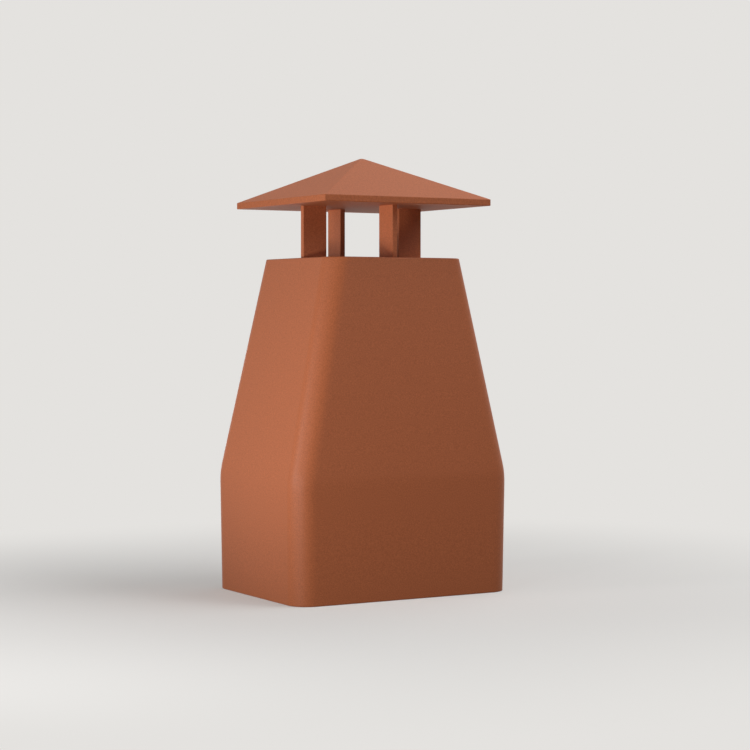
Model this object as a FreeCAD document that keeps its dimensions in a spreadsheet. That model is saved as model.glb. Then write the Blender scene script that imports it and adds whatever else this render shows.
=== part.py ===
import FreeCAD, Part
import math
import os

from FreeCAD import Placement, Rotation, Vector
from Sketcher import Constraint

# Terracotta chimney cap: a hollow tapered pot, four upright spacer plates on its top and a pyramid roof.
# The origin is at the middle of the base, on the plane that the cap stands on.
# X runs along the long side of the base and +Z is up.

doc = FreeCAD.newDocument("ChimneyCap")
sheet = doc.addObject("Spreadsheet::Sheet", "Sizes")

# The driving dimensions, in millimetres
sizes = {
    # pot
    "baseWidth": 350,  # long side of the skirt, where skirt and taper would meet in a sharp line
    "baseDepth": 260,  # short side, at the same height
    "bendHeight": 170,  # that height
    "bendRadius": 140,  # the soft bend there
    "skirtDraft": 2,  # how far each wall of the skirt comes in from there down to the foot
    "longWallLean": 20.5,  # and how far each long wall comes in from there up to the square top
    "potHeight": 477,
    "cornerRadius": 30,  # the four corners, the same from base to top
    "potWall": 12,  # sides and top alike
    "flueDiameter": 110,  # the way out through the top
    "flueRounding": 3,  # both edges of that opening
    "topRounding": 2,  # the outer edge of the top
    "footRounding": 1.5,  # both edges of the rim that the pot stands on
    # spacer plates
    "plateHeight": 74,
    "plateLength": 37.5,
    "plateThickness": 8,
    "sidePlateInset": 12,  # from the edge of the top to the outer end of the right or left plate
    "facePlateInset": 16,  # the same for the front and back plates
    "plateRounding": 0.8,  # the upright edges
    # roof
    "roofOverhang": 24.5,  # from the edge of the top to the rim of the roof
    "roofRim": 9,  # the upright edge of the roof
    "roofRise": 61,  # from the rim to the tip
    "roofTip": 4,  # the tip is a blunt square
    "roofRounding": 1.2,
}

# What follows from them
followers = {
    "topSide": "=baseDepth - 2 * longWallLean",
    "footWidth": "=baseWidth - 2 * skirtDraft",
    "footDepth": "=baseDepth - 2 * skirtDraft",
    "sidePlateEnd": "=topSide / 2 - sidePlateInset",  # from the cap's axis
    "facePlateEnd": "=topSide / 2 - facePlateInset",
    "plateHalf": "=plateThickness / 2",
    "roofSide": "=topSide + 2 * roofOverhang",
    "roofBase": "=potHeight + plateHeight",
    "longEnough": "=baseWidth + baseDepth",  # reaches past every outline
}
for row, (name, value) in enumerate([*sizes.items(), *followers.items()], start=1):
    sheet.set(f"A{row}", name)
    sheet.set(f"B{row}", str(value))
    sheet.setAlias(f"B{row}", name)
doc.recompute()

lineStart, lineEnd, circleCentre = range(1, 4)  # the numbers of a sketch's named points
xAxis, yAxis = range(-1, -3, -1)  # and of its own axes
slack = 0.01  # places this near to each other count as the same


def size(name):
    return float(sheet.get(name))


def newBody(label):
    body = doc.addObject("PartDesign::Body", label)
    body.Label = label
    return body


def newSketch(body, name, role, height=None):
    """A sketch on one of the body's origin planes, lifted by a named size if one is given."""
    plane = next(p for p in body.Origin.OriginFeatures if p.Role == role)
    sketch = body.newObject("Sketcher::SketchObject", name)
    sketch.AttachmentSupport = [(plane, "")]
    sketch.MapMode = "FlatFace"
    if height:
        sketch.setExpression("AttachmentOffset.Base.z", f"Sizes.{height}")
    return sketch


def bind(sketch, name, *constraint):
    """Adds a constraint whose value is a named size and follows it."""
    index = sketch.addConstraint(Constraint(*constraint, size(name)))
    sketch.setExpression(f"Constraints[{index}]", f"Sizes.{name}")


def joinEnds(sketch, first, second, kind="Coincident"):
    sketch.addConstraint(Constraint(kind, first, lineEnd, second, lineStart))


def addLoop(sketch, corners):
    """A closed chain of lines from corner to corner, returned as their numbers."""
    lines = []
    for here, there in zip(corners, corners[1:] + corners[:1]):
        lines.append(sketch.addGeometry(Part.LineSegment(here, there)))
    for here, there in zip(lines, lines[1:] + lines[:1]):
        joinEnds(sketch, here, there)
    return lines


def mirrored(point):
    return Vector(-point.x, point.y)


def addPotOutline(sketch, foot, width):
    """The pot seen square on: nearly upright skirt, soft bend, straight taper up to the top."""
    radius, bendHeight, potHeight = size("bendRadius"), size("bendHeight"), size("potHeight")
    footHalf, half, topHalf = size(foot) / 2, size(width) / 2, size("topSide") / 2
    draft = math.atan2(half - footHalf, bendHeight)
    lean = math.atan2(half - topHalf, potHeight - bendHeight)
    bendReach = radius * math.tan((draft + lean) / 2)

    bottom, top = Vector(footHalf, 0), Vector(topHalf, potHeight)
    shoulder = Vector(half - bendReach * math.sin(draft), bendHeight - bendReach * math.cos(draft))
    bendEnd = Vector(half - bendReach * math.sin(lean), bendHeight + bendReach * math.cos(lean))
    rightCentre = shoulder - Vector(math.cos(draft), -math.sin(draft)) * radius
    rightCircle = Part.Circle(rightCentre, Vector(0, 0, 1), radius)
    leftCircle = Part.Circle(mirrored(rightCentre), Vector(0, 0, 1), radius)

    bottomLine = sketch.addGeometry(Part.LineSegment(mirrored(bottom), bottom))
    rightSide = sketch.addGeometry(Part.LineSegment(bottom, shoulder))
    rightBend = sketch.addGeometry(Part.ArcOfCircle(rightCircle, -draft, lean))
    rightTaper = sketch.addGeometry(Part.LineSegment(bendEnd, top))
    topLine = sketch.addGeometry(Part.LineSegment(top, mirrored(top)))
    leftTaper = sketch.addGeometry(Part.LineSegment(mirrored(top), mirrored(bendEnd)))
    leftBend = sketch.addGeometry(Part.ArcOfCircle(leftCircle, math.pi - lean, math.pi + draft))
    leftSide = sketch.addGeometry(Part.LineSegment(mirrored(shoulder), mirrored(bottom)))
    rightSharp = sketch.addGeometry(Part.Point(Vector(half, bendHeight)), True)
    leftSharp = sketch.addGeometry(Part.Point(Vector(-half, bendHeight)), True)

    joinEnds(sketch, bottomLine, rightSide)
    joinEnds(sketch, rightSide, rightBend, "Tangent")
    joinEnds(sketch, rightBend, rightTaper, "Tangent")
    joinEnds(sketch, rightTaper, topLine)
    joinEnds(sketch, topLine, leftTaper)
    joinEnds(sketch, leftTaper, leftBend, "Tangent")
    joinEnds(sketch, leftBend, leftSide, "Tangent")
    joinEnds(sketch, leftSide, bottomLine)
    for constraint in (
        ("PointOnObject", bottomLine, lineStart, xAxis),
        ("Symmetric", bottomLine, lineStart, bottomLine, lineEnd, yAxis),
        ("Symmetric", topLine, lineStart, topLine, lineEnd, yAxis),
        ("Symmetric", leftSharp, lineStart, rightSharp, lineStart, yAxis),
        ("PointOnObject", rightSharp, lineStart, rightSide),
        ("PointOnObject", rightSharp, lineStart, rightTaper),
        ("PointOnObject", leftSharp, lineStart, leftSide),
        ("PointOnObject", leftSharp, lineStart, leftTaper),
        ("Equal", rightBend, leftBend),
    ):
        sketch.addConstraint(Constraint(*constraint))
    bind(sketch, foot, "DistanceX", bottomLine, lineStart, bottomLine, lineEnd)
    bind(sketch, width, "DistanceX", leftSharp, lineStart, rightSharp, lineStart)
    bind(sketch, "topSide", "DistanceX", topLine, lineEnd, topLine, lineStart)
    bind(sketch, "potHeight", "DistanceY", bottomLine, lineStart, topLine, lineEnd)
    bind(sketch, "bendHeight", "DistanceY", bottomLine, lineEnd, rightSharp, lineStart)
    bind(sketch, "bendRadius", "Radius", rightBend)


def addRoofOutline(sketch, width):
    """The roof seen square on: flat below, upright rim, two slopes and the blunt tip."""
    half, tipHalf = size(width) / 2, size("roofTip") / 2
    eaves, tip = Vector(half, size("roofRim")), Vector(tipHalf, size("roofRim") + size("roofRise"))
    under = Vector(half, 0)
    corners = [mirrored(under), under, eaves, tip, mirrored(tip), mirrored(eaves)]
    underside, rightRim, rightSlope, tipLine, leftSlope, leftRim = addLoop(sketch, corners)
    for constraint in (
        ("PointOnObject", underside, lineStart, xAxis),
        ("Symmetric", underside, lineStart, underside, lineEnd, yAxis),
        ("Symmetric", tipLine, lineStart, tipLine, lineEnd, yAxis),
        ("Symmetric", rightRim, lineEnd, leftRim, lineStart, yAxis),
        ("Vertical", rightRim),
    ):
        sketch.addConstraint(Constraint(*constraint))
    bind(sketch, width, "DistanceX", underside, lineStart, underside, lineEnd)
    bind(sketch, "roofRim", "Distance", rightRim)
    bind(sketch, "roofRise", "DistanceY", rightSlope, lineStart, rightSlope, lineEnd)
    bind(sketch, "roofTip", "DistanceX", tipLine, lineEnd, tipLine, lineStart)


def pad(body, sketch, name, length, side="One side"):
    """Raises the sketch by a named size, or spreads it both ways from its plane."""
    feature = body.newObject("PartDesign::Pad", name)
    feature.Profile = sketch
    feature.SideType = side
    feature.setExpression("Length", f"Sizes.{length}")
    sketch.Visibility = False
    return feature


def crossOutlines(label, addOutline, frontSizes, sideSizes):
    """A body that has the outline at some sizes from the front and at others from the side."""
    body, helper = newBody(label), newBody(f"{label}_side_outline")
    for form, role, names in ((body, "XZ_Plane", frontSizes), (helper, "YZ_Plane", sideSizes)):
        sketch = newSketch(form, "Outline", role)
        addOutline(sketch, *names)
        pad(form, sketch, "Form", "longEnough", "Symmetric")
    crossing = body.newObject("PartDesign::Boolean", "Crossing")
    crossing.Type = "Common"
    crossing.setObjects([helper])
    doc.recompute()
    return body, crossing


def isUpright(edge):
    """True of an edge that climbs, so of none that lies level."""
    return edge.BoundBox.ZLength > slack


def isLevelAt(height, thing):
    return abs(thing.BoundBox.ZMin - height) < slack and abs(thing.BoundBox.ZMax - height) < slack


def reach(edge):
    """How far the edge gets from the cap's axis, along X or Y."""
    box = edge.BoundBox
    return max(box.XMax, -box.XMin, box.YMax, -box.YMin)


def roundEdges(body, name, base, radius, test):
    """Rounds the edges of the feature before that pass the test, by a named size."""
    edges = [f"Edge{number}" for number, edge in enumerate(base.Shape.Edges, start=1) if test(edge)]
    if not edges:
        raise ValueError(f"{body.Label}: {name} finds no edge")
    fillet = body.newObject("PartDesign::Fillet", name)
    fillet.Base = (base, edges)
    fillet.setExpression("Radius", f"Sizes.{radius}")
    doc.recompute()
    return fillet


def buildPot():
    """One moulded piece with an even wall, open below and turned in round the flue at the top."""
    front, side = ("footWidth", "baseWidth"), ("footDepth", "baseDepth")
    pot, crossing = crossOutlines("pot", addPotOutline, front, side)
    corners = roundEdges(pot, "Corners", crossing, "cornerRadius", isUpright)
    faces = enumerate(corners.Shape.Faces, start=1)
    hollow = pot.newObject("PartDesign::Thickness", "Hollow")
    hollow.Base = (corners, [f"Face{number}" for number, face in faces if isLevelAt(0, face)])
    hollow.setExpression("Value", "Sizes.potWall")
    hollow.Reversed = True
    doc.recompute()

    flueRadius = size("flueDiameter") / 2
    sketch = newSketch(pot, "FlueCircle", "XY_Plane", "potHeight")
    circle = sketch.addGeometry(Part.Circle(Vector(0, 0), Vector(0, 0, 1), flueRadius))
    sketch.addConstraint(Constraint("Coincident", circle, circleCentre, xAxis, lineStart))
    bind(sketch, "flueDiameter", "Diameter", circle)
    flue = pot.newObject("PartDesign::Pocket", "Flue")
    flue.Profile = sketch
    flue.Type = "ThroughAll"
    sketch.Visibility = False
    doc.recompute()

    def isMouth(edge):
        return not isUpright(edge) and abs(reach(edge) - flueRadius) < slack

    def isBrow(edge):
        return isLevelAt(size("potHeight"), edge) and abs(reach(edge) - size("topSide") / 2) < slack

    def isFoot(edge):
        return isLevelAt(0, edge)

    mouth = roundEdges(pot, "FlueEdges", flue, "flueRounding", isMouth)
    brow = roundEdges(pot, "TopEdge", mouth, "topRounding", isBrow)
    roundEdges(pot, "FootEdges", brow, "footRounding", isFoot)
    return pot


def buildPlate(label, turn, outerEnd):
    """An upright plate, drawn on the +X side of the flue and turned about the cap's axis to its own side."""
    outer, inner, half = size(outerEnd), size(outerEnd) - size("plateLength"), size("plateHalf")
    plate = newBody(label)
    sketch = newSketch(plate, "Section", "XY_Plane")
    corners = [Vector(inner, -half), Vector(outer, -half), Vector(outer, half), Vector(inner, half)]
    front, end, back, flueEnd = addLoop(sketch, corners)
    for line in (front, back):
        sketch.addConstraint(Constraint("Horizontal", line))
    for line in (end, flueEnd):
        sketch.addConstraint(Constraint("Vertical", line))
    bind(sketch, outerEnd, "DistanceX", xAxis, lineStart, end, lineStart)
    bind(sketch, "plateHalf", "DistanceY", xAxis, lineStart, end, lineEnd)
    bind(sketch, "plateLength", "Distance", front)
    bind(sketch, "plateThickness", "Distance", end)
    upright = pad(plate, sketch, "Upright", "plateHeight")
    doc.recompute()
    roundEdges(plate, "UprightEdges", upright, "plateRounding", isUpright)
    plate.Placement = Placement(Vector(0, 0, size("potHeight")), Rotation(Vector(0, 0, 1), turn))
    plate.setExpression("Placement.Base.z", "Sizes.potHeight")
    return plate


def buildRoof():
    """A square slab, flat below, with an upright rim and four slopes that meet in a blunt tip."""
    roof, crossing = crossOutlines("roof", addRoofOutline, ["roofSide"], ["roofSide"])
    roundEdges(roof, "Edges", crossing, "roofRounding", lambda edge: True)
    roof.Placement = Placement(Vector(0, 0, size("roofBase")), Rotation())
    roof.setExpression("Placement.Base.z", "Sizes.roofBase")
    return roof


parts = [buildPot()]
sides = {"right": "sidePlateEnd", "back": "facePlateEnd", "left": "sidePlateEnd", "front": "facePlateEnd"}
for quarter, (place, outerEnd) in enumerate(sides.items()):
    parts.append(buildPlate(f"spacer_plate_{place}", 90 * quarter, outerEnd))
parts.append(buildRoof())
doc.recompute()

for thing in doc.Objects:
    if "Invalid" in thing.State or "Error" in thing.State:
        raise RuntimeError(f"{thing.Label} is {thing.State}")
os.makedirs("parts", exist_ok=True)
for piece in parts:
    shape = piece.Shape
    if shape.isNull() or not shape.isValid() or len(shape.Solids) != 1:
        raise RuntimeError(f"{piece.Label} is no single valid solid")
    shape.exportStep(f"parts/{piece.Label}.step")
    print(piece.Label, round(shape.Volume), "mm3", shape.optimalBoundingBox(False, False))
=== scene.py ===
import bmesh
import bpy
import math
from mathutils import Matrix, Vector


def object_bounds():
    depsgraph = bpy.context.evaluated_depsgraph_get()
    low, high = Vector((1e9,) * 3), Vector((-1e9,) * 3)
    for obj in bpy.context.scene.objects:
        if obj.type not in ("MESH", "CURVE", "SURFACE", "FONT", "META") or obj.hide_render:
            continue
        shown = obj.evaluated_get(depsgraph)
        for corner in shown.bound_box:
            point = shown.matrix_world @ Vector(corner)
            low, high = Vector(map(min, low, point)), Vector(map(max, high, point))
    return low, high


# Terracotta chimney cap: hollow tapered pot, four spacer plates and a pyramid roof

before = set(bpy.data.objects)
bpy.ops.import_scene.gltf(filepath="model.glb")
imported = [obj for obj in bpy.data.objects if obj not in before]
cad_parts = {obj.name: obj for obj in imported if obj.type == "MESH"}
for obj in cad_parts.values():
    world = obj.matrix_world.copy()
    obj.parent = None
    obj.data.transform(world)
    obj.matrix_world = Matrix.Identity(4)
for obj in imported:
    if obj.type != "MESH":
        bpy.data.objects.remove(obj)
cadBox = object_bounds()
print("frame loaded:", ", ".join(sorted(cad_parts)))


# Shared helpers

def linearColour(hexText):  # "#rrggbb" in sRGB, to the linear values that shaders want
    channels = [int(hexText[i:i + 2], 16) / 255 for i in (1, 3, 5)]
    linear = [c / 12.92 if c <= 0.04045 else ((c + 0.055) / 1.055) ** 2.4 for c in channels]
    return (*linear, 1)


def addNode(tree, kind, inputs=None, **settings):  # inputs: plain values or another node's output
    node = tree.nodes.new(kind)
    for name, value in settings.items():
        setattr(node, name, value)
    for name, value in (inputs or {}).items():
        if isinstance(value, bpy.types.NodeSocket):
            tree.links.new(value, node.inputs[name])
        else:
            node.inputs[name].default_value = value
    return node


def newMaterial(name):
    material = bpy.data.materials.new(name)
    material.use_nodes = True
    material.node_tree.nodes.clear()
    return material, material.node_tree


# Camera

# lengths in metres, angles in degrees
cameraView = {
    "distance": 2.9529,  # from the cap's axis, measured level
    "height": 0.397,
    "standsAt": -29.865,  # round from the middle of the long side
    "looksFrom": -30.236,  # a touch further round, which puts the cap left of the middle
    "pitch": -1.689,
    "lens": 98.23,  # mm
    "seesTo": 200,  # past the floor's far edge
}


def makeCamera(view):
    data = bpy.data.cameras.new("camera")
    data.lens = view["lens"]
    data.clip_end = view["seesTo"]
    camera = bpy.data.objects.new("camera", data)
    bpy.context.scene.collection.objects.link(camera)
    standsAt = math.radians(view["standsAt"])
    away = view["distance"]
    camera.location = (math.sin(standsAt) * away, -math.cos(standsAt) * away, view["height"])
    tilt = math.radians(90 + view["pitch"])  # an unturned camera looks straight down
    camera.rotation_euler = (tilt, 0, math.radians(view["looksFrom"]))
    bpy.context.scene.camera = camera


makeCamera(cameraView)
bpy.context.scene.view_settings.view_transform = "Standard"
print("camera placed")


# Floor, background and light

# lengths in metres
studio = {
    "floorRadius": 60,  # so wide that its edge is the horizon
    "floorSides": 64,
    "paperColour": "#f4f3f1",  # near the cap, where it takes the shadow
    "backColour": "#e4e2df",
    "backShare": 0.35,  # how much of the background shows in the paper beside the cap
    "backStarts": 0.08,  # outside the cap, where the background begins to take over
    "backFull": 0.9,
    "bounceColour": "#6e6157",  # what the floor throws back on the cap
    "contactShadeColour": "#241f1b",  # painted shade: what the floor throws back from close to the foot, near-black in place of the cap's contact shadow
    "contactShadeEnds": (0.04, 0.22),  # outside the cap, where the painted shade fades from the second colour to the first
    "ambientColour": "#ffffff",
    "ambientStrength": 0.03,
    "aimHeight": 0.3,  # of the point that the round lamps face
}


def addSeen(tree):  # 1 for the rays that show a surface, 0 for those that only carry its light
    path = addNode(tree, "ShaderNodeLightPath")
    straight = addNode(tree, "ShaderNodeMath", {
        0: path.outputs["Is Camera Ray"],
        1: path.outputs["Is Glossy Ray"],
    }, operation="MAXIMUM")
    return addNode(tree, "ShaderNodeMath", {
        0: straight.outputs[0],
        1: path.outputs["Is Transmission Ray"],
    }, operation="MAXIMUM").outputs[0]


def addDistance(tree, reach):  # how far outside the cap's outline a point of the floor lies
    place = addNode(tree, "ShaderNodeTexCoord").outputs["Object"]
    mirrored = addNode(tree, "ShaderNodeVectorMath", {0: place}, operation="ABSOLUTE")
    beyond = addNode(tree, "ShaderNodeVectorMath", {
        0: mirrored.outputs[0],
        1: reach,
    }, operation="SUBTRACT")
    outside = addNode(tree, "ShaderNodeVectorMath", {
        0: beyond.outputs[0],
        1: (0, 0, 0),
    }, operation="MAXIMUM")
    away = addNode(tree, "ShaderNodeVectorMath", {0: outside.outputs[0]}, operation="LENGTH")
    return away.outputs["Value"]


def makeFloor(room, reach):
    mesh = bmesh.new()
    bmesh.ops.create_circle(
        mesh, cap_ends=True, radius=room["floorRadius"], segments=room["floorSides"])
    floor = bpy.data.objects.new("floor", bpy.data.meshes.new("floor"))
    mesh.to_mesh(floor.data)
    mesh.free()
    bpy.context.scene.collection.objects.link(floor)
    # pale matt paper round the cap, which turns into the plain background further out
    material, tree = newMaterial("paper_floor_matt")
    away = addDistance(tree, reach)
    far = addNode(tree, "ShaderNodeMapRange", {
        "Value": away,
        "From Min": room["backStarts"],
        "From Max": room["backFull"],
        "To Min": room["backShare"],
    }, interpolation_type="SMOOTHSTEP")
    paper = addNode(tree, "ShaderNodeBsdfDiffuse", {"Color": linearColour(room["paperColour"])})
    glow = addNode(tree, "ShaderNodeEmission", {
        "Color": linearColour(room["backColour"]),
        "Strength": 1,
    })
    shown = addNode(tree, "ShaderNodeMixShader", {
        0: far.outputs[0],
        1: paper.outputs[0],
        2: glow.outputs[0],
    })
    # the light that this floor throws back is darker and warmer than it looks, with painted shade
    # close to the foot: a near-black band that darkens the cap's lower sides in place of its contact
    # shadow
    clear = addNode(tree, "ShaderNodeMapRange", {
        "Value": away,
        "From Min": room["contactShadeEnds"][0],
        "From Max": room["contactShadeEnds"][1],
    }, interpolation_type="SMOOTHSTEP")
    thrown = addNode(tree, "ShaderNodeMix", {
        0: clear.outputs[0],
        6: linearColour(room["contactShadeColour"]),
        7: linearColour(room["bounceColour"]),
    }, data_type="RGBA")
    bounce = addNode(tree, "ShaderNodeBsdfDiffuse", {"Color": thrown.outputs[2]})
    both = addNode(tree, "ShaderNodeMixShader", {
        0: addSeen(tree),
        1: bounce.outputs[0],
        2: shown.outputs[0],
    })
    addNode(tree, "ShaderNodeOutputMaterial", {"Surface": both.outputs[0]})
    floor.data.materials.append(material)


def makeWorld(room):
    world = bpy.data.worlds.new("studio")
    world.use_nodes = True
    bpy.context.scene.world = world
    tree = world.node_tree
    tree.nodes.clear()
    light = addNode(tree, "ShaderNodeBackground", {
        "Color": linearColour(room["ambientColour"]),
        "Strength": room["ambientStrength"],
    })
    back = addNode(tree, "ShaderNodeBackground", {
        "Color": linearColour(room["backColour"]),
        "Strength": 1,
    })
    both = addNode(tree, "ShaderNodeMixShader", {
        0: addSeen(tree),
        1: light.outputs[0],
        2: back.outputs[0],
    })
    addNode(tree, "ShaderNodeOutputWorld", {"Surface": both.outputs[0]})


# azimuth in degrees round from the middle of the long side, elevation in degrees, lengths in metres
lamps = {
    "left": {"azimuth": -90, "elevation": -4, "distance": 1.3, "size": 0.25, "watts": 1.4},
    "leftFront": {"azimuth": -70, "elevation": -4, "distance": 1.3, "size": 0.25, "watts": 2.3},
    "corner": {"azimuth": -55, "elevation": -4, "distance": 1.3, "size": 0.15, "watts": 3.1},
    "front": {"azimuth": 30, "elevation": 30, "distance": 3, "size": 1.6, "watts": 20},
    "highRight": {"azimuth": 60, "elevation": 60, "distance": 3, "size": 1.6, "watts": 27},
    "above": {"azimuth": 0, "elevation": 90, "distance": 3, "size": 1.6, "watts": 12},
    "behindRight": {"azimuth": 120, "elevation": 60, "distance": 3, "size": 1.6, "watts": 9},
    "behind": {"azimuth": 170, "elevation": -4, "distance": 1.6, "size": 0.5, "watts": 2},
}

# a soft-edged level spot whose cone meets the floor by the cap, so the left side darkens to the foot
spot = {
    "azimuth": -90,
    "distance": 1.3,
    "height": 0.42,
    "cone": 43.4,  # degrees
    "blend": 0.55,
    "size": 0.1,
    "watts": 17.5,
}


def direction(azimuth, elevation=0):  # from the cap to a lamp
    around, up = math.radians(azimuth), math.radians(elevation)
    return Vector((math.sin(around) * math.cos(up), -math.cos(around) * math.cos(up), math.sin(up)))


def addLamp(name, kind, place, towards, watts):
    data = bpy.data.lights.new(name, kind)
    data.energy = watts
    lampObject = bpy.data.objects.new(name, data)
    lampObject.location = place
    lampObject.rotation_euler = towards.to_track_quat("Z", "Y").to_euler()
    lampObject.visible_camera = False
    bpy.context.scene.collection.objects.link(lampObject)
    return data


def makeLamp(name, lamp, aimHeight):
    towards = direction(lamp["azimuth"], lamp["elevation"])
    place = Vector((0, 0, aimHeight)) + towards * lamp["distance"]
    data = addLamp(name, "AREA", place, towards, lamp["watts"])
    data.shape = "DISK"
    data.size = lamp["size"]


def makeSpot(name, lamp):
    towards = direction(lamp["azimuth"])
    place = towards * lamp["distance"] + Vector((0, 0, lamp["height"]))
    data = addLamp(name, "SPOT", place, towards, lamp["watts"])
    data.spot_size = math.radians(lamp["cone"])
    data.spot_blend = lamp["blend"]
    data.shadow_soft_size = lamp["size"]


makeFloor(studio, (cadBox[1][0], cadBox[1][1], 0))
makeWorld(studio)
for lampName, lamp in lamps.items():
    makeLamp(lampName, lamp, studio["aimHeight"])
makeSpot("leftSpot", spot)
print("studio lit by", len(lamps) + 1, "lamps")


# Terracotta

# lengths in mm
terracotta = {
    "paleGrain": "#c87249",
    "darkGrain": "#b0633e",
    "grainSize": 1.6,  # real sand is 0.5 or less and wouldn't show, so it is drawn coarser
    "grainDetail": 2.0,
    "grainRoughness": 0.6,
    "grainSpread": (0.3, 0.7),  # of the noise, stretched from the dark grain to the pale one
    "bumpDepth": 0.2,
    "bumpStrength": 0.3,
    "roughness": 0.47,
    "specular": 0.23,
}

# the roof's face is left rougher from its mould, so it mirrors less than the scraped pot
roofTerracotta = {**terracotta, "grainSize": 1.8, "roughness": 0.6, "specular": 0.22}


def makeTerracotta(name, clay):
    # unglazed fired clay: an even orange brown, nearly matt, with a fine sandy skin
    material, tree = newMaterial(name)
    grain = addNode(tree, "ShaderNodeTexNoise", {
        "Vector": addNode(tree, "ShaderNodeTexCoord").outputs["Object"],
        "Scale": 1000 / clay["grainSize"],
        "Detail": clay["grainDetail"],
        "Roughness": clay["grainRoughness"],
    })
    spread = addNode(tree, "ShaderNodeMapRange", {
        "Value": grain.outputs[0],
        "From Min": clay["grainSpread"][0],
        "From Max": clay["grainSpread"][1],
    })
    colour = addNode(tree, "ShaderNodeMix", {
        0: spread.outputs[0],
        6: linearColour(clay["darkGrain"]),
        7: linearColour(clay["paleGrain"]),
    }, data_type="RGBA")
    bump = addNode(tree, "ShaderNodeBump", {
        "Height": grain.outputs[0],
        "Strength": clay["bumpStrength"],
        "Distance": clay["bumpDepth"] / 1000,
    })
    shader = addNode(tree, "ShaderNodeBsdfPrincipled", {
        "Base Color": colour.outputs[2],
        "Roughness": clay["roughness"],
        "Specular IOR Level": clay["specular"],
        "Normal": bump.outputs[0],
    })
    addNode(tree, "ShaderNodeOutputMaterial", {"Surface": shader.outputs[0]})
    return material


scraped = makeTerracotta("terracotta_unglazed_scraped", terracotta)
rough = makeTerracotta("terracotta_unglazed_rough", roofTerracotta)
for name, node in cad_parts.items():
    node.data.materials.clear()
    node.data.materials.append(rough if name == "roof" else scraped)
print("clay on", len(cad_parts), "pieces")
